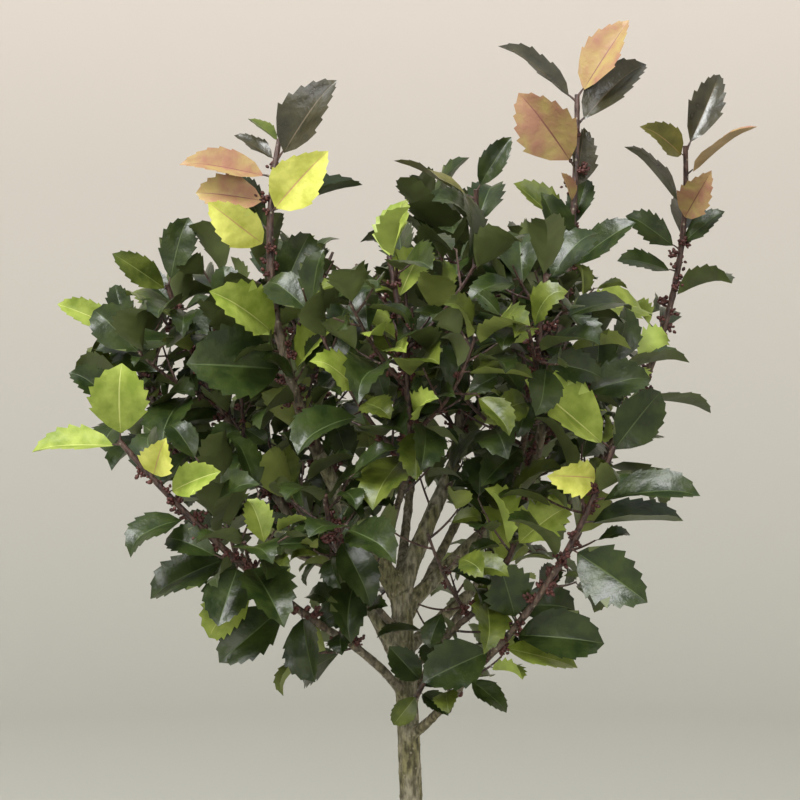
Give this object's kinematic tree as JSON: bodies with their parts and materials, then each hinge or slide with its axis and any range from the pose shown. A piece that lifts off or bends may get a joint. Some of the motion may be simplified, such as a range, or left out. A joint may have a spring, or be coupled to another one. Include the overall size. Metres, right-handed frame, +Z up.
{
  "type": "potted holly tree",
  "caption": "Young holly on a short clear stem in a plain round nursery pot, with forking boughs, an open crown of spiny folded leaves and three shoots above it.",
  "frame": {"origin": "centre of the pot's flat underside", "axes": "+Z up along the stem; the crown's best side faces -Y, with +X to the right as seen from there"},
  "size_m": [0.4174, 0.3329, 0.7943],
  "materials": {
    "pot": "satin black moulded plastic",
    "soil": "dark crumbly potting mix",
    "bark": "smooth olive-grey bark, purple-brown on young wood",
    "foliage": "glossy leathery leaves, dark green with lime and bronze young ones"
  },
  "bodies": {
    "root": {"pot": "pot", "soil": "soil", "trunk": "bark", "bough_left_leader": "bark", "bough_centre": "bark", "bough_right_leader": "bark", "bough_far_right": "bark", "bough_lower_right": "bark", "bough_left_shoulder": "bark", "bough_lower_left": "bark", "bough_front": "bark", "bough_front_right": "bark", "bough_left_outer": "bark", "bough_back_left": "bark", "bough_back_centre": "bark", "bough_back_right": "bark", "bough_back_low_left": "bark", "bough_back_low_right": "bark", "bough_inner_left": "bark", "bough_inner_right": "bark", "bough_sprig": "bark", "foliage_left_leader": "foliage", "foliage_right_leader": "foliage", "foliage_far_right": "foliage", "foliage_lower_right": "foliage", "foliage_lower_left": "foliage", "foliage_left_shoulder": "foliage", "foliage_left_outer": "foliage", "foliage_centre": "foliage", "foliage_front": "foliage", "foliage_front_right": "foliage", "foliage_inner_left": "foliage", "foliage_inner_right": "foliage", "foliage_back_left": "foliage", "foliage_back_centre": "foliage", "foliage_back_right": "foliage", "foliage_back_low_left": "foliage", "foliage_back_low_right": "foliage", "foliage_sprig": "foliage"}
  },
  "joints": []
}
